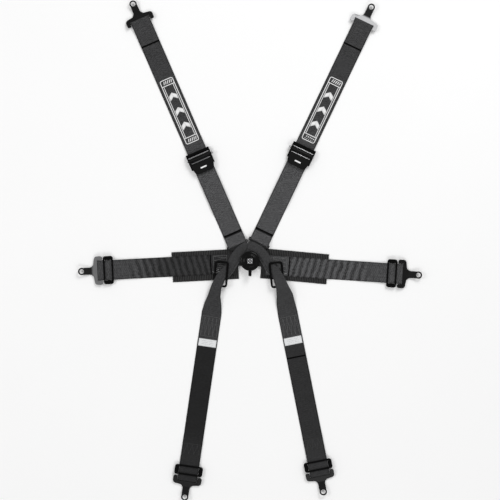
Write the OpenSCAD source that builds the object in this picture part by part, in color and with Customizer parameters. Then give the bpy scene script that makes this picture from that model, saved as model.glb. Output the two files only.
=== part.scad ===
// Six-point racing harness, laid flat: a rotary cam-lock buckle with four tongues,
// two shoulder, two lap and two crotch straps, and six bolt-in bent brackets.
// Millimetres. X right, Y towards the shoulder ends, Z up from the resting plane.
// The origin is on the back of the buckle, under its centre.

/* [Webbing] */
// Width of every load strap
web_w = 50; // [46:1:50]
// Thickness of one layer of webbing
web_t = 1.4; // [1.2:0.1:1.4]
// Width of the backing pad under each lap strap
pad_w = 76; // [66:1:78]
// Thickness of the backing pad
pad_t = 1.6; // [1.2:0.1:1.6]

/* [Buckle] */
// Radius of the turning knob
knob_r = 24.6; // [23.5:0.1:26]
// Outer radius of the buckle housing
house_r = 23; // [22.6:0.1:23]
// Thickness of the base plate
base_t = 2.5; // [2:0.1:2.8]
// Radius of the circle on which the latch pins stand
pin_ring_r = 15; // [14.8:0.1:15.2]
// Radius of a latch pin
pin_r = 2.8; // [2.4:0.1:2.8]
// Height of the pins above the resting plane at the tongues
tongue_z = 4.5; // [4.3:0.1:4.6]

/* [Tongues] */
// Thickness of a tongue
tongue_t = 2.5; // [2.2:0.1:2.6]
// Half the width of a tongue's neck
neck_half = 7; // [6:0.5:7]
// Radius of the round bars that webbing turns round
bar_r = 2; // [1.6:0.1:2]

/* [Brackets] */
// Thickness of a bracket
bracket_t = 3; // [2.5:0.1:3]
// Radius of the bolt hole in a bracket, for a 7/16 inch bolt
eye_r = 5.75; // [5:0.05:6]
// Radius of the rounded end round the bolt hole
eye_rim_r = 9.3; // [9:0.1:10]
// Slope of the bracket's plate and of its neck, half the bend each
bracket_tilt = 16; // [14:1:16]
// Distance from the bend to the bolt hole, along the neck
neck_len = 26; // [24:0.5:28]

/* [Slides and rings] */
// Length of a three-bar slide across the strap
slide_len = 71; // [66:1:74]
// Thickness of a three-bar slide
slide_t = 2; // [1.6:0.1:2]
// Radius of the wire of the strap rings
ring_wire_r = 2.7; // [2:0.1:2.7]
// Distance between the long legs of a strap ring
ring_w = 31; // [31:0.5:32]
// Distance between the short legs of a strap ring
ring_h = 61; // [60:0.5:61]

/* [Adjusters] */
// Length of a shoulder adjuster along the strap
adj_len = 57; // [56:0.5:58]
// Width over the adjuster's side plates
adj_w = 62; // [60:0.5:63]

/* [Hidden] */

$fn = 48;
gap = 0.3;
cut = 40;

// Heights in the buckle
bar_z = tongue_z + tongue_t / 2;
tongue_top = tongue_z + tongue_t;
guide_z = tongue_top + 0.8;
guide_t = 2;
lift = 3.5;
head_z = guide_z + guide_t + gap;
head_t = 1.5;
roof_z = head_z + head_t + lift + gap;
roof_t = 2;
house_top = roof_z + roof_t;
knob_z = house_top + gap;
wall_t = 2.4;
knob_h = 7.5;
sleeve_r = 9;

// Webbing: loops round the bars, and doubled (sewn back) lengths
loop_in = bar_r + gap;
loop_out = loop_in + web_t;
double_t = 2 * web_t + 0.1;
single_z = web_t / 2 + 0.15;
double_z = double_t / 2 + 0.15;
pad_z = 0.2;
over_pad = pad_z + pad_t + gap;

// Bracket: the bend rests on the plane and the plate rises to the webbing loop
bend_y = 18.7;
bend_z = bracket_t / 2 + 0.14;
loop_z = bend_z + bend_y * tan(bracket_tilt);
eye_y = bend_y + neck_len * cos(bracket_tilt);

// Latch pins, as angles from +Y, anticlockwise
shoulder_pin_a = 35;
lap_pin_a = 109;
function on_ring(a) = [-pin_ring_r * sin(a), pin_ring_r * cos(a)];

// Straps: [bar x, bar y, heading of the strap, length from bar to bracket loop]
shoulder_l = [-32.6, 43.2, 23.45, 615.6];
shoulder_r = [23.9, 48.4, -25.49, 611.7];
lap_l = [-44, -6.5, 93.0, 337.3];
lap_r = [44, -10.5, -93.75, 338];
crotch_l = [-96, -127, 171.67, 429.3];
crotch_r = [94, -127, -168.69, 420.2];

// Start of each adjuster along its shoulder strap
adj_start_l = 198;
adj_start_r = 210;
tail_len = 80;
pad_start = 1.5;
pad_end = 153;

// Crotch bands from the shoulder tongues to the crotch straps: [x, y, z, width]
band_t = 2;
band_path_l = [
  [-5.5, 45, 10.9, 14], [-21.5, 28.5, 10.9, 23], [-35.5, 12.9, 10.9, 23],
  [-45, -6, 10.9, 23.5], [-56, -20, 10.5, 22], [-66, -31, 10.7, 22],
  [-74, -42, 11.4, 24], [-85, -66, 16.8, 26], [-90, -88, 9, 31],
  [-93.2, -108, 3.8, 42], [-96, -127, 1.3, 48]
];
band_path_r = [
  [-6, 39.5, 13.3, 20], [5.2, 37, 13.3, 23], [21.5, 28, 12.4, 23],
  [34, 16, 11.2, 23], [45, -3, 10.9, 23], [54, -17, 11, 22],
  [65, -29, 11.1, 22], [72.5, -43, 14, 27], [81, -66, 17, 31],
  [87.5, -88, 9, 41], [90.2, -108, 3.8, 46], [94, -127, 1.3, 48]
];

// Places children at a strap's start, with +Y along the strap
module along(strap) {
  translate([strap[0], strap[1], 0])
    rotate([0, 0, strap[2]])
      children();
}

// Places children at a strap's bracket loop
module at_loop(strap) {
  along(strap)
    translate([0, strap[3], 0])
      children();
}

// Extrudes a side view, drawn as [along, up], across the strap's width
module across(width) {
  rotate([90, 0, 90])
    linear_extrude(height = width, center = true)
      children();
}

// A round bar across the strap
module cross_bar(r, length, y = 0, z = 0) {
  translate([0, y, z])
    rotate([0, 90, 0])
      cylinder(r = r, h = length, center = true);
}

function unit(v) = v / norm(v);
function normal_at(p, i) =
  let (d = unit(p[min(i + 1, len(p) - 1)] - p[max(i - 1, 0)]))
  [-d[1], d[0]];

// A ribbon of even thickness along a side-view path
module ribbon(path, thick) {
  lower = [for (i = [0 : len(path) - 1]) path[i] - normal_at(path, i) * thick / 2];
  upper = [for (i = [len(path) - 1 : -1 : 0]) path[i] + normal_at(path, i) * thick / 2];
  polygon(concat(lower, upper));
}

// Cross-section of a flat band at one station: four corners
function band_corners(path, i, thick) =
  let (
    a = path[max(i - 1, 0)],
    b = path[min(i + 1, len(path) - 1)],
    d = unit([b[0] - a[0], b[1] - a[1]]),
    s = [-d[1], d[0]] * path[i][3] / 2,
    p = path[i]
  )
  [
    [p[0] + s[0], p[1] + s[1], p[2] - thick / 2],
    [p[0] - s[0], p[1] - s[1], p[2] - thick / 2],
    [p[0] - s[0], p[1] - s[1], p[2] + thick / 2],
    [p[0] + s[0], p[1] + s[1], p[2] + thick / 2]
  ];

// A flat band swept through its stations
module band(path, thick) {
  n = len(path);
  points = [for (i = [0 : n - 1]) each band_corners(path, i, thick)];
  sides = [
    for (i = [0 : n - 2], k = [0 : 3])
      let (j = (k + 1) % 4)
      each [
        [4 * i + k, 4 * i + j, 4 * i + 4 + j],
        [4 * i + k, 4 * i + 4 + j, 4 * i + 4 + k]
      ]
  ];
  caps = [
    [0, 2, 1], [0, 3, 2],
    [4 * n - 4, 4 * n - 3, 4 * n - 2], [4 * n - 4, 4 * n - 2, 4 * n - 1]
  ];
  polyhedron(points = points, faces = concat(sides, caps));
}

// ---------------------------------------------------------------- buckle

// A stack of closed coils, used for every small spring
coil_step = 1.8;
function coils_h(wire, turns) = 2 * wire + (turns - 1) * coil_step * wire;
module coils(r, wire, turns) {
  for (i = [0 : turns - 1])
    translate([0, 0, wire + i * wire * coil_step])
      rotate_extrude()
        translate([r - wire, 0])
          circle(r = wire, $fn = 16);
}

screw_places = [for (a = [2, 148, 212, 63]) [-19.2 * sin(a), 19.2 * cos(a)]];
neck_headings = [37.84, -22.97, 93.08, -100.64];
neck_starts = [on_ring(shoulder_pin_a), on_ring(-shoulder_pin_a), on_ring(lap_pin_a), on_ring(-lap_pin_a)];

module buckle_base() {
  color([0.12, 0.12, 0.13])
    difference() {
      cylinder(r = house_r, h = base_t, $fn = 96);
      for (p = screw_places)
        translate([p[0], p[1], -1])
          cylinder(r = 1.3, h = cut);
    }
}

module buckle_housing() {
  color([0.08, 0.08, 0.09])
    difference() {
      union() {
        difference() {
          translate([0, 0, base_t])
            cylinder(r = house_r, h = house_top - base_t, $fn = 96);
          translate([0, 0, base_t - 1])
            cylinder(r = house_r - wall_t, h = roof_z - base_t + 1, $fn = 96);
        }
        // screw bosses against the wall, below the tongues and above them
        for (p = screw_places)
          translate([p[0], p[1], guide_z + guide_t])
            cylinder(r = 2.2, h = roof_z - guide_z - guide_t + 0.5);
      }
      translate([0, 0, roof_z - 1])
        cylinder(r = sleeve_r + 0.2, h = cut);
      for (p = screw_places)
        translate([p[0], p[1], -1])
          cylinder(r = 1.05, h = house_top);
      // windows for the four tongues
      for (i = [0 : 3])
        translate([neck_starts[i][0], neck_starts[i][1], tongue_z - gap])
          rotate([0, 0, neck_headings[i]])
            translate([-neck_half - gap, 0, 0])
              cube([2 * neck_half + 2 * gap, cut, tongue_t + 2 * gap]);
    }
}

module buckle_screws() {
  color([0.55, 0.56, 0.58])
    for (p = screw_places)
      translate([p[0], p[1], 0.1])
        cylinder(r = 1, h = roof_z - 0.5);
}

module pin_guide_plate() {
  color([0.5, 0.51, 0.53])
    translate([0, 0, guide_z])
      difference() {
        cylinder(r = house_r - wall_t - 0.1, h = guide_t, $fn = 96);
        for (p = neck_starts)
          translate([p[0], p[1], -1])
            cylinder(r = pin_r + 0.2, h = guide_t + 2);
        for (p = screw_places)
          translate([p[0], p[1], -1])
            cylinder(r = 1.15, h = guide_t + 2);
        translate([0, 0, -1])
          cylinder(r = 4.1, h = guide_t + 2);
      }
}

module centre_post() {
  color([0.6, 0.61, 0.63])
    difference() {
      translate([0, 0, base_t])
        cylinder(r = 4, h = knob_z + 2 - base_t);
      translate([0, 0, knob_z - 6])
        cylinder(r = 1.7, h = cut);
    }
}

// Rivet that keeps the left lap tongue in the buckle for good
module fixed_pin() {
  color([0.6, 0.61, 0.63])
    translate([neck_starts[2][0], neck_starts[2][1], base_t])
      cylinder(r = pin_r, h = guide_z + guide_t + 0.8 - base_t);
}

module pin_springs() {
  color([0.7, 0.71, 0.73])
    for (p = [neck_starts[0], neck_starts[1], neck_starts[3]])
      translate([p[0], p[1], roof_z - coils_h(0.35, 4)])
        coils(1.7, 0.35, 4);
}

// Springs that push the three loose tongues out
module eject_springs() {
  color([0.7, 0.71, 0.73])
    for (i = [0, 1, 3])
      translate([neck_starts[i][0], neck_starts[i][1], bar_z])
        rotate([0, 0, neck_headings[i]])
          translate([0, -6.1 - coils_h(0.35, 5), 0])
            rotate([-90, 0, 0])
              coils(1.2, 0.35, 5);
}

module knob_spring() {
  color([0.7, 0.71, 0.73])
    translate([0, 0, roof_z - coils_h(0.6, 2)])
      coils(10.8, 0.6, 2);
}

// Round knob with a raised hub and a lever tail at the bottom
module knob() {
  color([0.06, 0.06, 0.07])
    difference() {
      union() {
        translate([0, 0, knob_z])
          rotate_extrude($fn = 96)
            polygon([
              [0, 0], [knob_r - 1, 0], [knob_r, 1], [knob_r, 3.4], [knob_r - 0.6, 4.6],
              [knob_r - 1.8, 5.3], [17.4, 6.2], [16.4, 6.6], [15.8, knob_h], [14.8, knob_h + 0.8],
              [0, knob_h + 1.4]
            ]);
        // teardrop lever that runs from the hub to a tail past the rim
        translate([0, 0, knob_z + 2.2])
          linear_extrude(height = 5.2)
            polygon([
              [-15, -6], [15, -6], [10, -14], [6, -20], [4.2, -26], [3.8, -36], [2.6, -38],
              [-2.6, -38], [-3.8, -36], [-4.2, -26], [-6, -20], [-10, -14]
            ]);
        // sleeve through the roof of the housing
        translate([0, 0, roof_z - 2.2])
          cylinder(r = sleeve_r, h = knob_z - roof_z + 2.7);
      }
      translate([0, 0, roof_z - 3])
        cylinder(r = 4.2, h = knob_z + 2.2 - roof_z + 3);
      translate([0, 0, knob_z])
        cylinder(r = 1.9, h = cut);
      // seat of the cap
      translate([0, 0, knob_z + knob_h - 0.2])
        cylinder(r = 9.2, h = cut);
    }
}

// Three-lobed hub that turns with the knob and lifts the pins
module cam_hub() {
  color([0.62, 0.63, 0.65])
    translate([0, 0, head_z - 0.1])
      difference() {
        union() {
          cylinder(r = 8.6, h = roof_z - 2.2 - head_z + 0.1);
          for (a = [20, 140, 260])
            rotate([0, 0, a])
              translate([-2.4, 0, 0])
                cube([4.8, 10.2, 1.6]);
        }
        translate([0, 0, -1])
          cylinder(r = 4.2, h = cut);
      }
}

module knob_cap() {
  color([0.1, 0.1, 0.11])
    translate([0, 0, knob_z + knob_h])
      rotate_extrude($fn = 64)
        polygon([[0, 0], [9, 0], [9, 1.2], [8.2, 1.7], [0, 2]]);
}

module knob_screw() {
  color([0.55, 0.56, 0.58])
    translate([0, 0, knob_z - 4])
      cylinder(r = 1.6, h = knob_h + 3.8);
}

// Spring-loaded pins with bevelled tips that hold the three loose tongues
module latch_pins() {
  color([0.66, 0.67, 0.69])
    for (p = [neck_starts[0], neck_starts[1], neck_starts[3]])
      translate([p[0], p[1], 0])
        difference() {
          union() {
            translate([0, 0, tongue_top - 2.1])
              cylinder(r1 = pin_r - 2.1, r2 = pin_r, h = 2.1);
            translate([0, 0, tongue_top])
              cylinder(r = pin_r, h = head_z - tongue_top);
            translate([0, 0, head_z])
              cylinder(r = pin_r + 0.9, h = head_t);
          }
          translate([0, 0, tongue_top + 1])
            cylinder(r = 2, h = cut);
        }
}

// A tongue: neck into the buckle, and a frame with the round bar for the webbing
module tongue(strap, i, loose) {
  start = neck_starts[i];
  reach = norm([strap[0] - start[0], strap[1] - start[1]]);
  color([0.5, 0.51, 0.53])
    difference() {
      union() {
        translate([0, 0, tongue_z])
          linear_extrude(height = tongue_t)
            union() {
              translate([start[0], start[1]])
                rotate(neck_headings[i])
                  polygon([
                    [-neck_half, -4], [-neck_half + 2, -6], [neck_half - 2, -6], [neck_half, -4],
                    [neck_half, reach - 8], [-neck_half, reach - 8]
                  ]);
              translate([strap[0], strap[1]])
                rotate(strap[2])
                  difference() {
                    polygon([
                      [-28.5, 1.6], [-28.5, -5], [-9, -15], [9, -15], [28.5, -5], [28.5, 1.6]
                    ]);
                    translate([-web_w / 2 - 0.5, -loop_out - 0.4])
                      square([web_w + 1, 20]);
                  }
            }
        along(strap)
          cross_bar(bar_r, web_w + 5, 0, bar_z);
      }
      translate([start[0], start[1], 0])
        if (loose) {
          translate([0, 0, tongue_z - 0.1])
            cylinder(r1 = pin_r - 2.1 - 0.05, r2 = pin_r + 0.45, h = tongue_t + 0.1);
          translate([0, 0, tongue_top - 0.01])
            cylinder(r = pin_r + 0.45, h = 1);
        } else {
          cylinder(r = pin_r + 0.1, h = cut);
        }
    }
}

module tongue_lap_left() { tongue(lap_l, 2, false); }
module tongue_lap_right() { tongue(lap_r, 3, true); }
module tongue_shoulder_left() { tongue(shoulder_l, 0, true); }
module tongue_shoulder_right() { tongue(shoulder_r, 1, true); }

// ---------------------------------------------------------------- straps

web_colour = [0.2, 0.2, 0.21];

// Side view of the loop at a tongue's bar and the doubled length after it
module tongue_end(path) {
  difference() {
    union() {
      ribbon(path, double_t);
      translate([0, bar_z])
        circle(r = loop_out);
    }
    translate([0, bar_z])
      circle(r = loop_in);
  }
}

// Lower shoulder strap: from the tongue to the adjuster's fixed bar
module shoulder_lower(strap, adj_start) {
  high_z = gap + 1.5 + gap + web_t + gap + web_t / 2;
  hook_y = adj_start + 22;
  hook_z = high_z - web_t / 2 + loop_out;
  color(web_colour)
    along(strap)
      across(web_w) {
        tongue_end([[0, bar_z], [4, bar_z - 0.2], [14, 3.3], [22, double_z + 0.1], [27, double_z]]);
        difference() {
          union() {
            ribbon([
              [24, double_z + web_t / 2], [34, single_z + 0.1], [42, single_z],
              [adj_start - 116, single_z], [adj_start - 98, high_z],
              [adj_start + 12, high_z], [hook_y, high_z]
            ], web_t);
            translate([hook_y, hook_z])
              circle(r = loop_out);
          }
          translate([hook_y, hook_z])
            circle(r = loop_in);
        }
      }
}

module shoulder_lower_left() { shoulder_lower(shoulder_l, adj_start_l); }
module shoulder_lower_right() { shoulder_lower(shoulder_r, adj_start_r); }

// Side view of the loop at a bracket, with its doubled length; y = 0 at the loop
module bracket_end(path) {
  difference() {
    union() {
      ribbon(path, double_t);
      translate([0, loop_z])
        circle(r = loop_out);
    }
    translate([0, loop_z])
      circle(r = loop_in);
  }
}

// Upper shoulder strap: tail under the lower strap, through the adjuster, to the bracket
module shoulder_upper(strap, adj_start) {
  run_z = gap + 1.5 + gap + web_t / 2;
  end_y = strap[3];
  color(web_colour)
    along(strap)
      across(web_w) {
        ribbon([
          [adj_start - tail_len, run_z], [adj_start + adj_len + 22, run_z],
          [adj_start + adj_len + 40, single_z], [end_y - 78, single_z],
          [end_y - 66, double_z + web_t / 2], [end_y - 62, double_z + web_t / 2]
        ], web_t);
        translate([end_y, 0])
          bracket_end([[-65, double_z], [-44, double_z], [-24, 3], [-4, loop_z - 0.6], [0, loop_z]]);
      }
}

module shoulder_upper_left() { shoulder_upper(shoulder_l, adj_start_l); }
module shoulder_upper_right() { shoulder_upper(shoulder_r, adj_start_r); }

// Doubled length from a bracket loop through a three-bar slide: the rise over the middle bar
slide_y = -23.5;
slide_slope = (loop_z - double_z) / 60;
function sloped(y, up) = [y, max(double_z, loop_z + (y + 4) * slide_slope) + up];
slide_up = double_t / 2 + gap + slide_t / 2;
hump = slide_up + slide_t / 2 + gap + double_t / 2;
slide_path = [
  sloped(-96, 0), sloped(-66, 0), sloped(-34.5, 0), sloped(-31, 0.6), sloped(-27.4, hump - 0.9),
  sloped(-25, hump), sloped(-22, hump), sloped(-19.6, hump - 0.9), sloped(-16, 0.6), sloped(-12.5, 0),
  sloped(-4, 0), [0, loop_z]
];

// Lap strap: tongue loop, over the pad, three-bar slide and bracket loop
module lap_strap(strap) {
  end_y = strap[3];
  color(web_colour)
    along(strap)
      across(web_w) {
        tongue_end([
          [0, bar_z], [4, bar_z - 0.3], [11, over_pad + double_t / 2 + 0.5],
          [17, over_pad + double_t / 2], [50, over_pad + double_t / 2]
        ]);
        ribbon([
          [47, over_pad + double_t - web_t / 2], [50, over_pad + double_t - web_t / 2],
          [60, over_pad + web_t / 2], [pad_end + 2, over_pad + web_t / 2],
          [pad_end + 16, single_z], [end_y - 110, single_z],
          [end_y - 97, double_z + web_t / 2], [end_y - 92, double_z + web_t / 2]
        ], web_t);
        translate([end_y, 0])
          bracket_end(slide_path);
      }
}

module lap_strap_left() { lap_strap(lap_l); }
module lap_strap_right() { lap_strap(lap_r); }

// Wide backing pad under the inner half of a lap strap
module lap_pad(strap, shift, turn) {
  color([0.1, 0.1, 0.11])
    along(strap)
      translate([shift, 0, pad_z])
        rotate([0, 0, turn])
          translate([-pad_w / 2, pad_start, 0])
            cube([pad_w, pad_end - pad_start, pad_t]);
}

module lap_pad_left() { lap_pad(lap_l, -1.5, 0); }
module lap_pad_right() { lap_pad(lap_r, -3.6, -1.6); }

// Crotch band: loop round a shoulder tongue, then down through the strap ring
module crotch_band(path, i, top_z) {
  color(web_colour)
    union() {
      band(path, band_t);
      translate([neck_starts[i][0], neck_starts[i][1], 0])
        rotate([0, 0, neck_headings[i]])
          translate([0, 10, 0])
            difference() {
              translate([-neck_half - 2.1, 0, tongue_z - gap - 1.6])
                cube([2 * neck_half + 4.2, 12.5, top_z - tongue_z + gap + 1.6]);
              translate([-neck_half - 0.6, -1, tongue_z - gap])
                cube([2 * neck_half + 1.2, 20, tongue_t + 2 * gap + 0.6]);
            }
    }
}

module crotch_band_left() { crotch_band(band_path_l, 0, 10.4); }
module crotch_band_right() { crotch_band(band_path_r, 1, 12); }

// Crotch strap: from the fold below the ring to the bracket
module crotch_strap(strap) {
  end_y = strap[3];
  color([0.15, 0.15, 0.16])
    along(strap)
      across(web_w) {
        ribbon([
          [0.4, single_z + 0.1], [20, single_z], [end_y - 110, single_z],
          [end_y - 97, double_z + web_t / 2], [end_y - 92, double_z + web_t / 2]
        ], web_t);
        translate([end_y, 0])
          bracket_end(slide_path);
      }
}

module crotch_strap_left() { crotch_strap(crotch_l); }
module crotch_strap_right() { crotch_strap(crotch_r); }

// Blank sewn label
module crotch_label(strap, y, turn) {
  color([0.86, 0.87, 0.87])
    along(strap)
      translate([0, y, single_z + web_t / 2])
        rotate([0, 0, turn])
          translate([-22.5, -9.5, 0.02])
            cube([45, 19, 0.5]);
}

module crotch_label_left() { crotch_label(crotch_l, 81, 0); }
module crotch_label_right() { crotch_label(crotch_r, 76, 0); }

// ---------------------------------------------------------------- hardware

// Bolt-in bracket: notched plate with a round bar, bent to a neck with the bolt eye
module bracket(strap) {
  plate_len = bend_y / cos(bracket_tilt);
  color([0.35, 0.35, 0.36])
    at_loop(strap)
      difference() {
        union() {
          translate([0, 0, loop_z])
            rotate([-bracket_tilt, 0, 0]) {
              linear_extrude(height = bracket_t, center = true)
                difference() {
                  union() {
                    polygon([
                      [-36, 5], [-34.6, 9.6], [-30.5, 12.2], [-15, 14.6], [-10.5, plate_len],
                      [10.5, plate_len], [15, 14.6], [30.5, 12.2], [34.6, 9.6], [36, 5],
                      [36, -4], [34.6, -7], [-34.6, -7], [-36, -4]
                    ]);
                    for (side = [-1, 1])
                      translate([side * 31.2, -3.8])
                        circle(r = 4.8);
                  }
                  translate([-web_w / 2 - 1, -20])
                    square([web_w + 2, 20 + loop_out + 0.7]);
                }
              cross_bar(bar_r, web_w + 8);
            }
          cross_bar(bracket_t / 2 + 0.06, 20.4, bend_y, bend_z);
          translate([0, bend_y, bend_z])
            rotate([bracket_tilt, 0, 0])
              linear_extrude(height = bracket_t, center = true)
                union() {
                  polygon([
                    [-10.5, 0], [-8.9, 5], [-8.7, neck_len - 3], [-7, neck_len],
                    [7, neck_len], [8.7, neck_len - 3], [8.9, 5], [10.5, 0]
                  ]);
                  translate([0, neck_len])
                    circle(r = eye_rim_r, $fn = 64);
                }
        }
        translate([0, bend_y, bend_z])
          rotate([bracket_tilt, 0, 0])
            translate([0, neck_len, 0])
              cylinder(r = eye_r, h = 20, center = true, $fn = 64);
      }
}

module bracket_shoulder_left() { bracket(shoulder_l); }
module bracket_shoulder_right() { bracket(shoulder_r); }
module bracket_lap_left() { bracket(lap_l); }
module bracket_lap_right() { bracket(lap_r); }
module bracket_crotch_left() { bracket(crotch_l); }
module bracket_crotch_right() { bracket(crotch_r); }

// Three-bar slide just before a bracket
module slide(strap) {
  color([0.08, 0.08, 0.09])
    at_loop(strap)
      translate([0, slide_y, sloped(slide_y, slide_up)[1]])
        rotate([atan(slide_slope), 0, 0])
          linear_extrude(height = slide_t, center = true)
            difference() {
              union() {
                square([slide_len - 10, 25], center = true);
                for (sx = [-1, 1]) {
                  translate([sx * (slide_len / 2 - 6), 0])
                    square([12, 13], center = true);
                  for (sy = [-1, 1])
                    translate([sx * (slide_len / 2 - 6), sy * 6.5])
                      circle(r = 6);
                }
              }
              for (sy = [-1, 1])
                translate([0, sy * 5.35])
                  square([web_w + 1.4, 6.5], center = true);
            }
}

module lap_slide_left() { slide(lap_l); }
module lap_slide_right() { slide(lap_r); }
module crotch_slide_left() { slide(crotch_l); }
module crotch_slide_right() { slide(crotch_r); }

// Rectangular wire ring that the crotch strap runs through
ring_corner_r = 5;
module wire_ring() {
  for (s = [-1, 1]) {
    translate([s * ring_w / 2, 0, 0])
      rotate([90, 0, 0])
        cylinder(r = ring_wire_r, h = ring_h - 2 * ring_corner_r, center = true, $fn = 24);
    translate([0, s * ring_h / 2, 0])
      rotate([0, 90, 0])
        cylinder(r = ring_wire_r, h = ring_w - 2 * ring_corner_r, center = true, $fn = 24);
  }
  for (q = [0 : 3])
    translate([
      (q == 0 || q == 3 ? 1 : -1) * (ring_w / 2 - ring_corner_r),
      (q < 2 ? 1 : -1) * (ring_h / 2 - ring_corner_r), 0
    ])
      rotate([0, 0, 90 * q])
        rotate_extrude(angle = 90)
          translate([ring_corner_r, 0])
            circle(r = ring_wire_r, $fn = 24);
}

module strap_ring_left() {
  color([0.05, 0.05, 0.06])
    translate([-73.1, -32.8, 12.1])
      rotate([2.4, -10.4, -5])
        wire_ring();
}

module strap_ring_right() {
  color([0.05, 0.05, 0.06])
    translate([67.4, -34.2, 12.1])
      rotate([2.4, 10.4, 6.7])
        wire_ring();
}

// ---------------------------------------------------------------- adjusters
// y = 0 at the adjuster's buckle end

side_x = adj_w / 2;
side_t = 2.2;
hook_y0 = 22;
adj_high_z = gap + 1.5 + gap + web_t + gap + web_t / 2;
hook_z0 = adj_high_z - web_t / 2 + loop_out;
pivot_y = 40;
pivot_z = 9.2;
barrel_r = 4.4;
flap_z = hook_z0 + loop_out + 0.5;
flap_t = 1.6;

module at_adjuster(strap, adj_start) {
  along(strap)
    translate([0, adj_start, 0])
      children();
}

// Frame: base plate, two side plates, the fixed bar and the grooved end bar
module adjuster_frame(strap, adj_start) {
  color([0.07, 0.07, 0.08])
    at_adjuster(strap, adj_start)
      difference() {
        union() {
          translate([-side_x, 16, gap])
            cube([2 * side_x, adj_len - 16, 1.5]);
          for (side = [-1, 1])
            translate([side * (side_x - side_t / 2), 0, 0])
              across(side_t)
                polygon([
                  [16, gap], [adj_len, gap], [adj_len, 8], [adj_len - 5, 11], [pivot_y + 7, 14],
                  [pivot_y - 7, 14], [26, 11.6], [16, 10.6]
                ]);
          cross_bar(bar_r, 2 * side_x - 1, hook_y0, hook_z0);
          translate([-side_x, adj_len - 8.4, 5])
            cube([2 * side_x, 8.4, 3.4]);
        }
        // grooves across the end bar
        for (x = [-side_x + 3 : 2.8 : side_x - 2])
          translate([x - 0.7, adj_len - 9, 7.6])
            cube([1.4, 10, 2]);
        translate([0, pivot_y, pivot_z])
          rotate([0, 90, 0])
            cylinder(r = 1.9, h = 100, center = true);
        for (y = [31.5, 46.6])
          translate([0, y, 8.6])
            rotate([0, 90, 0])
              cylinder(r = 1.3, h = 100, center = true);
      }
}

module adjuster_frame_left() { adjuster_frame(shoulder_l, adj_start_l); }
module adjuster_frame_right() { adjuster_frame(shoulder_r, adj_start_r); }

// Lever: toothed barrel that grips the webbing, and the flap that releases it
module adjuster_lever(strap, adj_start) {
  inner = side_x - side_t - 0.4;
  color([0.05, 0.05, 0.06])
    at_adjuster(strap, adj_start)
      difference() {
        union() {
          cross_bar(barrel_r, 2 * inner, pivot_y, pivot_z);
          // grip teeth under the barrel
          for (y = [-1.6, 0, 1.6])
            translate([-24, pivot_y + y - 0.5, pivot_z - barrel_r - 0.5])
              cube([48, 1, 2]);
          // side arms to the flap
          for (side = [-1, 1])
            translate([side * (inner - 1.4), 0, 0])
              across(2.8)
                polygon([
                  [pivot_y, pivot_z + barrel_r - 0.1], [pivot_y, pivot_z + 1.5], [29, flap_z],
                  [26, flap_z], [26, flap_z + flap_t]
                ]);
          translate([0, 0, flap_z])
            linear_extrude(height = flap_t)
              polygon([
                [-inner, 28], [inner, 28], [inner, 20], [26, 8], [23.5, 3.2], [19, 0.8],
                [-19, 0.8], [-23.5, 3.2], [-26, 8], [-inner, 20]
              ]);
        }
        translate([0, pivot_y, pivot_z])
          rotate([0, 90, 0])
            cylinder(r = 1.9, h = 100, center = true);
      }
}

module adjuster_lever_left() { adjuster_lever(shoulder_l, adj_start_l); }
module adjuster_lever_right() { adjuster_lever(shoulder_r, adj_start_r); }

module adjuster_pin(strap, adj_start) {
  color([0.75, 0.76, 0.78])
    at_adjuster(strap, adj_start)
      union() {
        cross_bar(1.7, 2 * side_x + 3.2, pivot_y, pivot_z);
        for (side = [-1, 1])
          translate([side * (side_x + 1.4), pivot_y, pivot_z])
            rotate([0, 90, 0])
              cylinder(r = 2.6, h = 1, center = true);
      }
}

module adjuster_pin_left() { adjuster_pin(shoulder_l, adj_start_l); }
module adjuster_pin_right() { adjuster_pin(shoulder_r, adj_start_r); }

module adjuster_bars(strap, adj_start) {
  color([0.6, 0.61, 0.63])
    at_adjuster(strap, adj_start)
      for (y = [31.5, 46.6])
        cross_bar(1.2, 2 * side_x + 1, y, 8.6);
}

module adjuster_bars_left() { adjuster_bars(shoulder_l, adj_start_l); }
module adjuster_bars_right() { adjuster_bars(shoulder_r, adj_start_r); }

// Return spring of the lever: coils outside one side plate
module adjuster_spring(strap, adj_start, side) {
  color([0.7, 0.71, 0.73])
    at_adjuster(strap, adj_start)
      translate([side * (side_x + 2.1), pivot_y, pivot_z])
        rotate([0, side * 90, 0])
          coils(3.6, 0.55, 3);
}

module adjuster_spring_left() { adjuster_spring(shoulder_l, adj_start_l, 1); }
module adjuster_spring_right() { adjuster_spring(shoulder_r, adj_start_r, -1); }

buckle_base();
buckle_housing();
buckle_screws();
pin_guide_plate();
centre_post();
fixed_pin();
pin_springs();
eject_springs();
knob_spring();
knob();
cam_hub();
knob_cap();
knob_screw();
latch_pins();
tongue_lap_left();
tongue_lap_right();
tongue_shoulder_left();
tongue_shoulder_right();
shoulder_lower_left();
shoulder_lower_right();
shoulder_upper_left();
shoulder_upper_right();
adjuster_frame_left();
adjuster_frame_right();
adjuster_lever_left();
adjuster_lever_right();
adjuster_pin_left();
adjuster_pin_right();
adjuster_bars_left();
adjuster_bars_right();
adjuster_spring_left();
adjuster_spring_right();
lap_strap_left();
lap_strap_right();
lap_pad_left();
lap_pad_right();
lap_slide_left();
lap_slide_right();
strap_ring_left();
strap_ring_right();
crotch_band_left();
crotch_band_right();
crotch_strap_left();
crotch_strap_right();
crotch_slide_left();
crotch_slide_right();
crotch_label_left();
crotch_label_right();
bracket_shoulder_left();
bracket_shoulder_right();
bracket_lap_left();
bracket_lap_right();
bracket_crotch_left();
bracket_crotch_right();
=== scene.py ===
"""A racing harness laid flat: woven webbing, ribbed pads, stitching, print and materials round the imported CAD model."""
import math

import bpy
import numpy as np
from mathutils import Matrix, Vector, noise


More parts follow.
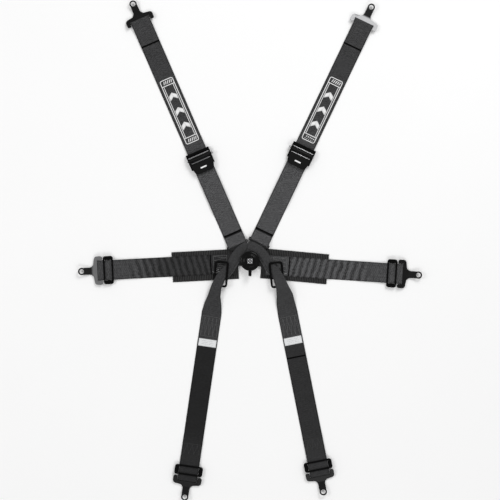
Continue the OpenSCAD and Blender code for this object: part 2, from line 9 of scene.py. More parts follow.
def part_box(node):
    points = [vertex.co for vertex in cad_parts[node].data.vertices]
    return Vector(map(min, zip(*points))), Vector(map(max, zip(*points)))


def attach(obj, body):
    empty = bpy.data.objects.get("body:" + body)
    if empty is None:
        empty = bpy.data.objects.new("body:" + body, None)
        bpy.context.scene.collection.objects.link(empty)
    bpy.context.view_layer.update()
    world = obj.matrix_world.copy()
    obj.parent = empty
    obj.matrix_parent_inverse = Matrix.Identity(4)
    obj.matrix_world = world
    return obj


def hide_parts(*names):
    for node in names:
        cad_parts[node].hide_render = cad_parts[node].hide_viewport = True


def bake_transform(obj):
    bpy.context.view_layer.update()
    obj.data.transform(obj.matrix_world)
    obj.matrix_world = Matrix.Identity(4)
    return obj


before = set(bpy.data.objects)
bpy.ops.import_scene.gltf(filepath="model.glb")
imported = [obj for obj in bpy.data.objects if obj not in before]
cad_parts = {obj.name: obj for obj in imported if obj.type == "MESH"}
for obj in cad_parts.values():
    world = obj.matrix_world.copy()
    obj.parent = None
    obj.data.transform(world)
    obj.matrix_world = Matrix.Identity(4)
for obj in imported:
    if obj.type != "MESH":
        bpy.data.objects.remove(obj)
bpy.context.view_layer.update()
MM = 0.001

# ------------------------------------------------------------------ sizes, in millimetres, as in the CAD source
WEB_W, WEB_T = 50.0, 1.4
HALF_W = WEB_W / 2
HEM = 22.6  # where the selvedge starts, from the webbing's middle
LAYER = 0.75  # half the distance between the two layers of a doubled length
BAR_Z, LOOP_R = 5.75, 3.0  # the tongues' bars, and the webbing's turn round a bar
SINGLE_Z, DOUBLE_Z = 0.85, 1.6  # middle heights of a single and a doubled length
TOP_LAYER = DOUBLE_Z + LAYER  # height of a doubled length's upper layer
OVER_PAD = 2.1  # underside of a lap strap where it lies over its pad
LOOP_Z = 7.002  # height of the bracket bars
SLIDE_SLOPE = (LOOP_Z - DOUBLE_Z) / 60  # rise of the webbing from its slide to the bracket
HUMP = 5.5  # rise of the webbing over a slide's middle bar
UNDER_BAR, OVER_BAR = 2.8, 4.5  # middle heights of the two shoulder layers in an adjuster
PAD_HALF, PAD_THICK, PAD_END = 38.0, 1.6, 153.0
LABEL_Y = {"left": 81, "right": 76}  # middle of a crotch label, from the strap's bar
PANEL_LOW, PANEL_LENGTH, PANEL_HALF = {"left": 82, "right": 72}, 174, 17.8  # the print, above the adjuster
NEAR_SPLICE, FAR_SPLICE = 90, 62  # where a bracket splice's sewing starts and ends, back from the bracket
# bar x, bar y, heading in degrees anticlockwise from +Y, length from the bar to the bracket loop
STRAPS = {
    "shoulder_left": (-32.6, 43.2, 23.45, 615.6),
    "shoulder_right": (23.9, 48.4, -25.49, 611.7),
    "lap_left": (-44, -6.5, 93.0, 337.3),
    "lap_right": (44, -10.5, -93.75, 338),
    "crotch_left": (-96, -127, 171.67, 429.3),
    "crotch_right": (94, -127, -168.69, 420.2),
}
ADJUSTER = {"left": 198, "right": 210}  # from the shoulder strap's bar to the adjuster
# the tongue neck inside each crotch loop: x, y, heading, and the loop's top
NECKS = {"left": (-8.604, 12.287, 37.84, 10.4), "right": (8.604, 12.287, -22.97, 12.0)}
# each crotch band's middle line, from the neck through the ring: x, y, z, width
BANDS = {
    "left": [
        (-5.5, 45, 10.9, 14), (-21.5, 28.5, 10.9, 23), (-35.5, 12.9, 10.9, 23),
        (-45, -6, 10.9, 23.5), (-56, -20, 10.5, 22), (-66, -31, 10.7, 22),
        (-74, -42, 11.4, 24), (-85, -66, 16.8, 26), (-90, -88, 9, 31),
        (-93.2, -108, 3.8, 42), (-96, -127, 1.3, 48),
    ],
    "right": [
        (-6, 39.5, 13.3, 20), (5.2, 37, 13.3, 23), (21.5, 28, 12.4, 23),
        (34, 16, 11.2, 23), (45, -3, 10.9, 23), (54, -17, 11, 22),
        (65, -29, 11.1, 22), (72.5, -43, 14, 27), (81, -66, 17, 31),
        (87.5, -88, 9, 41), (90.2, -108, 3.8, 46), (94, -127, 1.3, 48),
    ],
}


def heading(name):
    """Unit vectors along and across a strap."""
    a = math.radians(STRAPS[name][2])
    return np.array([-math.sin(a), math.cos(a), 0]), np.array([math.cos(a), math.sin(a), 0])


def place(name, y, x, z):
    """A point given along, across and above a strap's bar, in the frame."""
    along, across = heading(name)
    sx, sy = STRAPS[name][:2]
    return np.array([sx, sy, 0]) + along * y + across * x + np.array([0, 0, z])


# Cross waves of the lap straps: their turns are RIPPLE_TURNS * ln(1 + (length - RIPPLE_START) / RIPPLE_RUN)
RIPPLE_TURNS, RIPPLE_RUN, RIPPLE_START = 45.5, 660.0, 50.0
RIPPLE_SLANT = {"left": -0.24, "right": 0.24}


# ------------------------------------------------------------------ node helpers
class Nodes:
    """A material being built: makes nodes and links in one call each."""

    def __init__(self, name):
        self.mat = bpy.data.materials.new(name)
        self.mat.use_nodes = True
        self.tree = self.mat.node_tree
        self.tree.nodes.clear()
        self.out = self.tree.nodes.new("ShaderNodeOutputMaterial")
        self.bsdf = self.tree.nodes.new("ShaderNodeBsdfPrincipled")
        self.tree.links.new(self.bsdf.outputs[0], self.out.inputs[0])

    def put(self, socket, value):
        if isinstance(value, bpy.types.NodeSocket):
            self.tree.links.new(value, socket)
        else:
            socket.default_value = value

    def node(self, kind, **settings):
        n = self.tree.nodes.new(kind)
        for k, v in settings.items():
            setattr(n, k, v)
        return n

    def math(self, op, a, b=0.0, c=None):
        n = self.node("ShaderNodeMath", operation=op)
        self.put(n.inputs[0], a)
        self.put(n.inputs[1], b)
        if c is not None:
            self.put(n.inputs[2], c)
        return n.outputs[0]

    def plus(self, base, value, factor, middle=0.0):
        """base plus factor times value, or times value's distance above a middle."""
        if middle:
            value = self.math("SUBTRACT", value, middle)
        return self.math("ADD", base, self.math("MULTIPLY", value, factor))

    def sine(self, phase):
        """Sine of a phase given in turns."""
        return self.math("SINE", self.math("MULTIPLY", phase, math.tau))

    def noise(self, vector, scale, detail=2.0, rough=0.55):
        n = self.node("ShaderNodeTexNoise")
        self.put(n.inputs["Vector"], vector)
        n.inputs["Scale"].default_value = scale
        n.inputs["Detail"].default_value = detail
        n.inputs["Roughness"].default_value = rough
        return n.outputs["Fac"]

    def span(self, value, low, high, to_low=0.0, to_high=1.0):
        n = self.node("ShaderNodeMapRange")
        self.put(n.inputs["Value"], value)
        for k, v in (("From Min", low), ("From Max", high), ("To Min", to_low), ("To Max", to_high)):
            n.inputs[k].default_value = v
        return n.outputs["Result"]

    def mix(self, fac, a, b):
        n = self.node("ShaderNodeMix", data_type="RGBA")
        self.put(n.inputs["Factor"], fac)
        self.put(n.inputs[6], a)
        self.put(n.inputs[7], b)
        return n.outputs[2]

    def tinted(self, colour, factor):
        """A colour multiplied by a number."""
        n = self.node("ShaderNodeVectorMath", operation="SCALE")
        self.put(n.inputs[0], colour)
        self.put(n.inputs["Scale"], factor)
        return n.outputs[0]

    def bump(self, height, distance, strength=1.0):
        n = self.node("ShaderNodeBump")
        self.put(n.inputs["Height"], height)
        n.inputs["Distance"].default_value = distance
        n.inputs["Strength"].default_value = strength
        return n.outputs[0]

    def place(self):
        """Position in the frame, in millimetres."""
        n = self.node("ShaderNodeTexCoord")
        return self.tinted(n.outputs["Object"], 1000.0)

    def weave_uv(self):
        """The webbing's own coordinates: across and along, in millimetres."""
        n = self.node("ShaderNodeUVMap", uv_map="Weave")
        s = self.node("ShaderNodeSeparateXYZ")
        self.put(s.inputs[0], n.outputs[0])
        return n.outputs[0], s.outputs[0], s.outputs[1]

    def finish(self, colour, rough, normal=None, metallic=0.0, specular=0.5, **more):
        b = self.bsdf.inputs
        self.put(b["Base Color"], colour)
        self.put(b["Roughness"], rough)
        b["Metallic"].default_value = metallic
        b["Specular IOR Level"].default_value = specular
        if normal is not None:
            self.put(b["Normal"], normal)
        for k, v in more.items():
            b[k.replace("_", " ")].default_value = v
        return self.mat


def grey(v):
    return (v, v, v, 1.0)


def webbing_material(name, tone, rib=1.5, contrast=0.35, ripple_shade=0.0, slant=0.0, edge=0.35, painted_shading=()):
    """Herringbone polyester webbing, with a tighter selvedge and a lighter edge: partly worn fuzz, partly a painted
    highlight.
    Its cross waves of tone are painted light and shade, like the shading of raised ripples: one argument sets their
    strength and slant how far they lean, in millimetres per millimetre.
    Painted light and shade along the webbing is given as (from, to, factor): its tone eases to factor between the two
    lengths."""
    m = Nodes(name)
    uv, u, v = m.weave_uv()
    side = m.math("ABSOLUTE", u)
    zig = m.math("PINGPONG", u, 2.6)
    ribs = m.sine(m.plus(m.math("DIVIDE", v, rib), zig, 0.55))
    warp = m.sine(m.math("DIVIDE", u, 1.05))
    weave = m.plus(m.math("MULTIPLY", ribs, 0.6), warp, 0.4)
    speck = m.noise(uv, 0.75, 3.0, 0.7)
    mottle = m.span(m.noise(uv, 0.22, 3.0, 0.8), 0.36, 0.64)
    blotch = m.noise(uv, 0.045, 3.0, 0.6)
    hem = m.math("GREATER_THAN", side, HEM)
    rim = m.span(side, HALF_W - 0.8, HALF_W - 0.1)
    height = m.plus(m.math("MULTIPLY", weave, m.span(hem, 0, 1, 1.0, 0.45)), speck, 0.6)
    groove_and_shade = m.math("COMPARE", side, HEM, 0.35)
    height = m.plus(height, groove_and_shade, -0.9)
    bright = m.plus(1.0, weave, contrast * 0.55)
    bright = m.plus(bright, speck, contrast * 2.6, 0.5)
    bright = m.plus(bright, mottle, contrast * 2.4, 0.5)
    bright = m.plus(bright, blotch, contrast * 1.7, 0.5)
    beat = m.sine(m.plus(m.math("DIVIDE", v, 5.0), m.math("PINGPONG", u, HALF_W / 2), 0.1))
    bright = m.plus(bright, beat, contrast * 0.6)
    bright = m.plus(bright, hem, -0.35)
    # the groove at the selvedge is darkened in colour too: painted shade in the recess
    bright = m.plus(bright, groove_and_shade, -0.25)
    # lighter edges: partly worn fuzz, partly a painted highlight, strongest on the crotch straps
    bright = m.plus(bright, rim, edge)
    if ripple_shade:
        # painted light and shade: lighter and darker bands in the same waves as the raised ones of ripples(), which
        # widen away from the buckle
        lean = m.plus(v, u, slant)
        stretch = m.plus(1.0, lean, 1 / RIPPLE_RUN, RIPPLE_START)
        turns = m.math("MULTIPLY", m.math("LOGARITHM", stretch, math.e), RIPPLE_TURNS)
        shade_wave = m.sine(m.plus(turns, blotch, 0.8))
        region = m.math("MULTIPLY", m.span(v, 52, 62), m.span(v, 235, 270, 1.0, 0.0))
        bright = m.plus(bright, m.math("MULTIPLY", shade_wave, region), ripple_shade)
    bright = m.math("MAXIMUM", bright, 0.15)
    # painted light and shade along the webbing: the tone eases to each factor
    for start, stop, factor in painted_shading:
        bright = m.math("MULTIPLY", bright, m.span(v, start, stop, 1.0, factor))
    colour = m.tinted((tone, tone, tone * 1.03), bright)
    rough = m.span(speck, 0.2, 0.8, 0.62, 0.86)
    normal = m.bump(height, 0.00012, 0.7)
    return m.finish(colour, rough, normal, specular=0.2, Sheen_Weight=0.06, Sheen_Roughness=0.45)


def pad_material(name, tone):
    """Wide ribbed webbing: round transverse ribs with a fine weave over them."""
    m = Nodes(name)
    uv, u, v = m.weave_uv()
    side = m.math("ABSOLUTE", u)
    ribs = m.sine(m.math("DIVIDE", v, 4.3))
    fine = m.sine(m.math("DIVIDE", u, 1.2))
    speck = m.noise(uv, 0.55, 3.0, 0.7)
    blotch = m.noise(uv, 0.05, 2.0)
    rim = m.span(side, PAD_HALF - 1.4, PAD_HALF - 0.2)
    height = m.plus(m.math("MULTIPLY", ribs, 0.8), fine, 0.12)
    height = m.plus(height, speck, 0.35)
    bright = m.plus(1.0, ribs, 0.85)
    bright = m.plus(bright, speck, 2.4, 0.5)
    bright = m.plus(bright, blotch, 0.8, 0.5)
    bright = m.plus(bright, rim, 0.5)
    bright = m.math("MAXIMUM", bright, 0.1)
    colour = m.tinted((tone, tone, tone), bright)
    normal = m.bump(height, 0.0005, 0.8)
    return m.finish(colour, m.span(speck, 0.2, 0.8, 0.6, 0.85), normal, specular=0.12, Sheen_Weight=0.03)


def metal_material(name, tone, metallic, rough, specular=0.5, wear=0.3, brush=0.0, neck=None):
    """Plated or painted metal: mottled tone, fine scratches and rubbed, lighter places. brush roughens the scratches.
    neck names a strap whose bracket's plate carries a painted reflection; beyond the bend, on the neck, the colour
    drops to near black, the bracket's own dark plating."""
    m = Nodes(name)
    p = m.place()
    blotch = m.noise(p, 0.09, 4.0, 0.6)
    grain = m.noise(p, 1.6, 3.0, 0.6)
    stretched = m.node("ShaderNodeMapping")
    stretched.inputs["Rotation"].default_value = (0.2, 0.1, 0.9)
    stretched.inputs["Scale"].default_value = (0.12, 3.4, 1.0)
    m.put(stretched.inputs["Vector"], p)
    scratch = m.span(m.noise(stretched.outputs[0], 0.9, 3.0, 0.5), 0.62, 0.72)
    worn = m.span(m.plus(blotch, scratch, 0.12), 0.6, 0.75)
    bright = m.plus(0.85, grain, 0.3)
    bright = m.plus(bright, worn, wear)
    # painted reflection on the bracket's plate only: beyond the bend the colour falls to near black
    if neck:
        along = heading(neck)[0]
        dot = m.node("ShaderNodeVectorMath", operation="DOT_PRODUCT")
        m.put(dot.inputs[0], p)
        m.put(dot.inputs[1], tuple(along))
        bend = float(np.dot(place(neck, STRAPS[neck][3] + 18.7, 0, 0), along))
        bright = m.math("MULTIPLY", bright, m.span(dot.outputs["Value"], bend - 3.5, bend + 1.5, 1.0, 0.03))
    colour = m.tinted((tone, tone, tone * 1.02), bright)
    roughness = m.plus(rough, grain, 0.18, 0.5)
    roughness = m.plus(roughness, scratch, 0.1 + brush)
    height = m.plus(m.math("MULTIPLY", grain, 0.5), scratch, -0.5)
    normal = m.bump(height, 0.00006, 0.35 + brush)
    return m.finish(colour, roughness, normal, metallic, specular)


def moulding_material(name, tone, rough):
    """Glossy black moulding with a faint orange peel and hairline marks."""
    m = Nodes(name)
    p = m.place()
    peel = m.noise(p, 0.7, 2.0)
    dust = m.span(m.noise(p, 2.6, 4.0, 0.75), 0.66, 0.8)
    colour = m.tinted((tone, tone, tone), m.plus(1.0, dust, 1.6))
    roughness = m.plus(rough, dust, 0.2)
    normal = m.bump(peel, 0.00008, 0.25)
    return m.finish(colour, roughness, normal, specular=0.14)


def print_material(name, tone):
    """White screen print on webbing, rubbed thin where the weave stands proud."""
    m = Nodes(name)
    p = m.place()
    speck = m.noise(p, 0.8, 3.0, 0.7)
    rubbed = m.span(speck, 0.66, 0.74)
    colour = m.mix(rubbed, grey(tone), grey(tone * 0.45))
    normal = m.bump(m.noise(p, 0.9, 2.0), 0.0001, 0.4)
    return m.finish(colour, 0.6, normal, specular=0.3)


def label_material(name):
    """White woven label: fine satin threads and faint, blank grey rules."""
    m = Nodes(name)
    uv, u, v = m.weave_uv()
    thread = m.sine(m.math("DIVIDE", v, 0.7))
    speck = m.noise(uv, 0.9, 3.0, 0.7)
    row = m.math("LESS_THAN", m.math("PINGPONG", m.math("ADD", v, 0.4), 2.0), 0.55)
    dashes = m.math("GREATER_THAN", m.noise(uv, 0.42, 1.0), 0.47)
    within_u, within_v = (m.math("LESS_THAN", m.math("ABSOLUTE", c), far) for c, far in ((u, 15.0), (v, 5.6)))
    ink = m.math("MULTIPLY", m.math("MULTIPLY", row, dashes), m.math("MULTIPLY", within_u, within_v))
    bright = m.plus(0.92, thread, 0.03)
    bright = m.plus(bright, speck, 0.25, 0.5)
    bright = m.plus(bright, ink, -0.38)
    colour = m.tinted((0.84, 0.85, 0.86), bright)
    return m.finish(colour, 0.7, m.bump(thread, 0.00008, 0.4), specular=0.25, Sheen_Weight=0.1)


def thread_material(name, tone, specular=0.35):
    """Twisted sewing thread."""
    m = Nodes(name)
    p = m.place()
    twist = m.noise(p, 2.2, 2.0)
    colour = m.tinted((tone, tone, tone), m.span(twist, 0.25, 0.75, 0.55, 1.45))
    return m.finish(colour, 0.6, m.bump(twist, 0.00008, 0.5), specular=specular)


def floor_material():
    m = Nodes("studio_floor")
    p = m.place()
    tone = m.span(m.noise(p, 0.004, 2.0), 0.3, 0.7, 0.985, 0.99)
    return m.finish(m.tinted((1.0, 1.0, 1.0), tone), 0.9, specular=0.1)


# Copies of one black webbing. Their different tones and the shading along them are painted light and shade: darker on
# the upper shoulder straps, on the left lap strap's inner part and on the crotch straps below their labels, and
# lighter again further along.
WEBBING = webbing_material("webbing_shoulder", 0.069)
UPPER_WEB_PAINTED_SHADE = webbing_material("webbing_upper_painted_shade", 0.052, painted_shading=[(268, 328, 0.72), (538, 598, 1.15)])
LAP_WEB = {
    "left": webbing_material(
        "webbing_lap_left", 0.022, rib=2.1, ripple_shade=0.55, slant=RIPPLE_SLANT["left"], painted_shading=[(170, 260, 2.3)]
    ),
    "right": webbing_material("webbing_lap_right", 0.06, rib=2.1, ripple_shade=0.5, slant=RIPPLE_SLANT["right"]),
}
# The crotch straps' strong lighter edges, edge=2.4, are a painted highlight.
CROTCH_WEB = {
    "left": webbing_material(
        "webbing_crotch_left", 0.036, contrast=0.25, edge=2.4, painted_shading=[(276, 282, 0.27), (500, 580, 1.9)]
    ),
    "right": webbing_material(
        "webbing_crotch_right", 0.039, contrast=0.25, edge=2.4, painted_shading=[(276, 282, 0.55), (520, 600, 1.3)]
    ),
}
PAD = pad_material("webbing_pad", 0.026)
BLACK_STEEL = metal_material("black_steel", 0.003, 0.0, 0.38, 0.04, wear=1.0)
PLATED = metal_material("dark_plated", 0.007, 0.0, 0.32, 0.14, wear=0.9)
# These two brackets have the same dark plating as the rest: their light tone is a painted reflection on the plate,
# strong on the right shoulder bracket and dimmer on the left lap bracket.
PLATE_PAINTED_REFLECTION = metal_material("plated_painted_reflection", 0.42, 0.35, 0.5, 0.3, wear=0.15, neck="shoulder_right")
PLATE_PAINTED_DIM_REFLECTION = metal_material("plated_painted_dim_reflection", 0.13, 0.3, 0.5, 0.3, wear=0.3, neck="lap_left")
TONGUE_STEEL = metal_material("tongue_steel", 0.02, 0.5, 0.3, 0.35, wear=1.5)
BARE_STEEL = metal_material("bare_steel", 0.5, 1.0, 0.28, 0.5, wear=0.2, brush=0.2)
HOUSING = metal_material("black_anodised", 0.006, 0.0, 0.34, 0.18, wear=0.8)
KNOB = moulding_material("knob_moulding", 0.003, 0.16)
LEVER = moulding_material("lever_moulding", 0.004, 0.34)
PRINT = print_material("white_print", 0.86)
EMBLEM = metal_material("emblem_foil", 0.7, 0.4, 0.4, 0.5, wear=0.0)
LABEL = label_material("woven_label")
THREAD = thread_material("dark_thread", 0.05)
# near black, for the black cross strips: painted shadow at the ends of doubled lengths
STRIP_BLACK = thread_material("strip_black", 0.0015, 0.03)
GREY_THREAD = thread_material("grey_thread", 0.17)
LIGHT_THREAD = thread_material("light_thread", 0.42)


# ------------------------------------------------------------------ mesh helpers
def build(name, points, faces, material, body=None, uv=None, smooth=True):
    """A mesh piece from points in millimetres."""
    me = bpy.data.meshes.new(name)
    me.from_pydata([tuple(float(c) * MM for c in p) for p in points], [], faces)
    if uv is not None:
        layer = me.uv_layers.new(name="Weave")
        vi = np.empty(len(me.loops), dtype=np.int64)
        me.loops.foreach_get("vertex_index", vi)
        layer.data.foreach_set("uv", np.asarray(uv, dtype=np.float32)[vi].ravel())
    me.materials.append(material)
    me.validate()
    me.update()
    me.polygons.foreach_set("use_smooth", [smooth] * len(me.polygons))
    ob = bpy.data.objects.new(name, me)
    bpy.context.scene.collection.objects.link(ob)
    if body:
        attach(ob, body)
    return ob


def densify(path, step):
    path = np.asarray(path, float)
    out = [path[0]]
    for a, b in zip(path[:-1], path[1:]):
        n = max(1, int(np.ceil(np.linalg.norm(b - a) / step)))
        out += [a + (b - a) * k / n for k in range(1, n + 1)]
    return np.array(out)


def rounded(path, step=4.0, rounds=2):
    """Splits a path finely and cuts its corners, so that it bends smoothly without leaving its own hull."""
    p = densify(path, step)
    for _ in range(rounds):
        q = 0.75 * p[:-1] + 0.25 * p[1:]
        r = 0.25 * p[:-1] + 0.75 * p[1:]
        p = np.vstack([p[:1], np.stack([q, r], 1).reshape(-1, p.shape[1]), p[-1:]])
    return p


def thinned(path, turn=7.0, longest=4.0):
    """Keeps a point wherever the path has turned or run far enough."""
    p = [path[0]]
    last = None
    for i in range(1, len(path) - 1):
        step = path[i + 1] - path[i]
        if np.linalg.norm(step) < 1e-6:
            continue
        d = step / np.linalg.norm(step)
        if last is None:
            last = d
        bent = math.degrees(math.acos(max(-1.0, min(1.0, float(np.dot(d, last))))))
        if bent > turn or np.linalg.norm(path[i] - p[-1]) > longest:
            p.append(path[i])
            last = d
    p.append(path[-1])
    return np.array(p)


def on_circle(cx, cy, r, degrees):
    w = math.radians(degrees)
    return cx + r * math.cos(w), cy + r * math.sin(w)


def arc(cy, cz, r, start, end, step=12.0):
    n = max(2, int(abs(end - start) / step))
    return [on_circle(cy, cz, r, start + (end - start) * k / n) for k in range(n + 1)]


def tube_faces(rows, m):
    """Side faces between rows of m points each, and the two end caps."""
    faces = []
    for a in range(0, (rows - 1) * m, m):
        faces += [(a + m + k, a + m + (k + 1) % m, a + (k + 1) % m, a + k) for k in range(m)]
    return faces + [tuple(range(m)), tuple((rows - 1) * m + k for k in reversed(range(m)))]


def slab(nx, ny, spot):
    """A thin closed sheet of nx by ny points: spot(layer, i, j) gives layer 0, the top, and layer 1, the underside."""
    points = [spot(layer, i, j) for layer in (0, 1) for j in range(ny) for i in range(nx)]

    def at(layer, i, j):
        return layer * nx * ny + j * nx + i

    faces = []
    for j in range(ny - 1):
        for i in range(nx - 1):
            faces.append((at(0, i, j), at(0, i + 1, j), at(0, i + 1, j + 1), at(0, i, j + 1)))
            faces.append((at(1, i, j), at(1, i, j + 1), at(1, i + 1, j + 1), at(1, i + 1, j)))
    edge = [(i, 0) for i in range(nx)] + [(nx - 1, j) for j in range(1, ny)]
    edge += [(i, ny - 1) for i in range(nx - 2, -1, -1)] + [(0, j) for j in range(ny - 2, 0, -1)]
    for (i0, j0), (i1, j1) in zip(edge, edge[1:] + edge[:1]):
        faces.append((at(0, i1, j1), at(0, i0, j0), at(1, i0, j0), at(1, i1, j1)))
    return points, faces


def flat_section(width, thick):
    """Closed outline of a strap's cross-section, with round edges: (across, up, u)."""
    half, e = width / 2, thick / 2
    xs = [-half + e * 1.1] + list(np.linspace(-half + 2.6, half - 2.6, 13)) + [half - e * 1.1]
    top = [(x, e, x) for x in xs]
    right = [(half - e * 0.32, e * 0.72, half - 0.3), (half, 0.0, half), (half - e * 0.32, -e * 0.72, half - 0.3)]
    return top + right + [(x, -h, u) for x, h, u in reversed(top)] + [(-x, -h, -u) for x, h, u in right]


def sweep(name, spots, tangents, across, sections, lengths, material, body=None, lift=None):
    """Sweeps closed cross-sections along stations. lift(i, u) gives how far the cloth of station i is raised at u."""
    points, uv, m = [], [], len(sections[0])
    for i, spot in enumerate(spots):
        t, a = tangents[i], across[i]
        up = np.cross(a, t)
        up /= np.linalg.norm(up)
        for x, h, u in sections[i]:
            extra = lift(i, u) if lift else 0.0
            points.append(spot + a * x + up * h + np.array([0, 0, extra]))
            uv.append((u, lengths[i]))
    return build(name, points, tube_faces(len(spots), m), material, body, uv)


def lay_strap(name, strap, path, material, body, lift=None):
    """A flat strap whose path, as (along, up), lies in the upright plane of its own heading.
    lift(y, u) gives how far the cloth is raised at a distance along the strap and a place across it."""
    p = thinned(rounded(path))
    along, across = heading(strap)
    spots = np.array([place(strap, y, 0, z) for y, z in p])
    d = np.gradient(p, axis=0)
    d /= np.linalg.norm(d, axis=1)[:, None]
    tangents = d[:, :1] * along + d[:, 1:] * np.array([0, 0, 1.0])
    lengths = np.concatenate([[0], np.cumsum(np.linalg.norm(np.diff(p, axis=0), axis=1))])
    total = float(lengths[-1])
    # on its way to the bracket, the webbing's own length reads as the distance from the strap's bar
    datum = next(k for k in range(int(np.argmin(p[:, 0])), len(p)) if p[k, 0] > 100)
    lengths = lengths + p[datum, 0] - lengths[datum]
    raised = (lambda i, u: lift(float(p[i, 0]), u)) if lift else None
    section = flat_section(WEB_W, WEB_T)
    n = len(p)
    ob = sweep(name, spots, tangents, [across] * n, [section] * n, lengths, material, body, raised)
    return ob, total


def offset(path, by):
    """The path moved sideways by a distance, to the left of its direction."""
    p = np.asarray(path, float)
    d = np.gradient(p, axis=0)
    d /= np.linalg.norm(d, axis=1)[:, None]
    return [(y - dz * by, z + dy * by) for (y, z), (dy, dz) in zip(p, d)]


# ------------------------------------------------------------------ strap paths, as (along, up)
def tongue_loop(start, rise, fall):
    """Lower layer from start to the bar, round it, and back on top down to fall."""
    return start + [(1.5, BAR_Z - LOOP_R)] + arc(0, BAR_Z, LOOP_R, -90, -270) + rise + fall


def slide_run(end):
    """Centre line of the doubled length over the slide to the bracket loop, like the CAD source."""

    def on(y, up):
        return (end + y, max(DOUBLE_Z, LOOP_Z + (y + 4) * SLIDE_SLOPE) + up)

    return [
        on(-92, 0), on(-66, 0), on(-34.5, 0), on(-31, 0.6), on(-27.4, HUMP - 0.9), on(-25, HUMP),
        on(-22, HUMP), on(-19.6, HUMP - 0.9), on(-16, 0.6), on(-12.5, 0), on(-7, 0),
    ]


def bracket_loop(end, run):
    """Upper layer along run, round the bracket's bar, and the lower layer back."""
    centre = densify(run, 3.0)
    upper, lower = offset(centre, LAYER), offset(centre, -LAYER)
    loop = arc(end, LOOP_Z, LOOP_R, 115, -115)
    return upper + loop + lower[::-1]


def ripples(start, stop, slant):
    """Raised cross waves of a strap that was pulled tight over its pad."""

    def lift(y, u):
        w = min(1.0, max(0.0, (y - start) / 10)) * min(1.0, max(0.0, (stop - y) / 35))
        turns = RIPPLE_TURNS * math.log(1 + (max(y, start) + u * slant - RIPPLE_START) / RIPPLE_RUN)
        edge = 1 - (abs(u) / HALF_W) ** 6
        return w * edge * 0.5 * (1 + math.sin(math.tau * turns))

    return lift


def shoulder_lower_path(side):
    a = ADJUSTER[side]
    fall = [(15, 4.1), (22, 2.5), (27, TOP_LAYER), (30, 1.7), (35, SINGLE_Z)]
    fall += [(a - 116, SINGLE_Z), (a - 98, OVER_BAR), (a + 20, OVER_BAR)]
    return tongue_loop(
        [(27, SINGLE_Z), (22, SINGLE_Z + 0.15), (14, 2.1), (6, 2.7)],
        [(4, 8.1), (10, 5.7)],
        fall + arc(a + 22, OVER_BAR + LOOP_R, LOOP_R, -90, 150),
    )


def shoulder_upper_path(side):
    a, end = ADJUSTER[side], STRAPS["shoulder_" + side][3]
    run = [(end - 65, DOUBLE_Z), (end - 44, DOUBLE_Z), (end - 24, 3.0), (end - 7, 5.9)]
    start = [(a - 80, UNDER_BAR), (a + 79, UNDER_BAR), (a + 97, SINGLE_Z), (end - 78, SINGLE_Z), (end - 67, TOP_LAYER)]
    return start + bracket_loop(end, run)


def lap_path(side):
    end = STRAPS["lap_" + side][3]
    low = OVER_PAD + WEB_T / 2
    high = low + 2 * LAYER
    fall = [(14, high + 0.1), (20, high), (50, high), (59, low), (155, low), (169, SINGLE_Z)]
    fall += [(end - 110, SINGLE_Z), (end - 97, TOP_LAYER)]
    return tongue_loop([(50, low), (10, low)], [(4, 8.1), (9, 6.3)], fall) + bracket_loop(end, slide_run(end))


# ------------------------------------------------------------------ sewing
def tube_stitch(points, faces, a, b, z_of, strap, radius=0.42):
    """One raised stitch from a to b, each (across, along), as a six-sided spindle pressed into the webbing."""
    base = len(points)
    a, b = np.array(a, float), np.array(b, float)
    d = (b - a) / max(1e-6, np.linalg.norm(b - a))
    side = np.array([-d[1], d[0]])
    for t, r in ((0.0, 0.25), (0.18, 0.85), (0.5, 1.0), (0.82, 0.85), (1.0, 0.25)):
        c = a + (b - a) * t
        for k in range(6):
            w = math.tau * k / 6
            q = c + side * math.cos(w) * radius * r
            points.append(place(strap, q[1], q[0], z_of(q[1], q[0]) + 0.05 + math.sin(w) * radius * r * 0.7))
    for i in range(4):
        for k in range(6):
            j = (k + 1) % 6
            faces.append((base + i * 6 + k, base + i * 6 + j, base + i * 6 + 6 + j, base + i * 6 + 6 + k))
    faces.append(tuple(base + k for k in reversed(range(6))))
    faces.append(tuple(base + 24 + k for k in range(6)))


def sew(name, strap, lines, z_of, material, body, pitch=3.4, length=2.6, radius=0.42):
    """A row of stitches along each line of (across, along) points."""
    points, faces = [], []
    for line in lines:
        line = [np.array(p, float) for p in line]
        for a, b in zip(line[:-1], line[1:]):
            run = np.linalg.norm(b - a)
            n = max(1, int(run / pitch))
            d = (b - a) / run
            for k in range(n):
                mid = a + d * run * (k + 0.5) / n
                tube_stitch(points, faces, mid - d * length / 2, mid + d * length / 2, z_of, strap, radius)
    return build(name, points, faces, material, body)


def w_pattern(low, high, half=19.5, columns=6):
    """The W sewing of a load-bearing splice, inside a sewn border."""
    xs = np.linspace(-half, half, columns + 1)
    zig = [(x, low + 2.5 if k % 2 else high - 2.5) for k, x in enumerate(xs)]
    box = [(-half - 1.5, low), (half + 1.5, low), (half + 1.5, high), (-half - 1.5, high), (-half - 1.5, low)]
    return [zig, box]


def level(heights):
    """Height of the cloth's top along a strap from (along, centre height) pairs."""
    ys, zs = zip(*heights)
    return lambda y, x: float(np.interp(y, ys, zs)) + WEB_T / 2


def sew_splice(name, strap, end, body):
    """The dark sewing before a lap or crotch strap's slide."""
    lines = w_pattern(end - NEAR_SPLICE, end - FAR_SPLICE)
    return sew(name, strap, lines, level([(0, TOP_LAYER), (end, TOP_LAYER)]), THREAD, body)


# ------------------------------------------------------------------ print, and black cross strips, painted shadow at doubled ends
def outline_ring(half, low, high, radius, width):
    """Inner and outer loops of a rounded frame line, as (across, along) points."""
    loops = []
    for inset in (0.0, width):
        r, pts = max(0.4, radius - inset), []
        for cx, cy, a0 in (
            (half - inset - r, high - inset - r, 0), (-half + inset + r, high - inset - r, 90),
            (-half + inset + r, low + inset + r, 180), (half - inset - r, low + inset + r, 270),
        ):
            pts += [on_circle(cx, cy, r, a0 + 15 * k) for k in range(7)]
        loops.append(pts)
    return loops


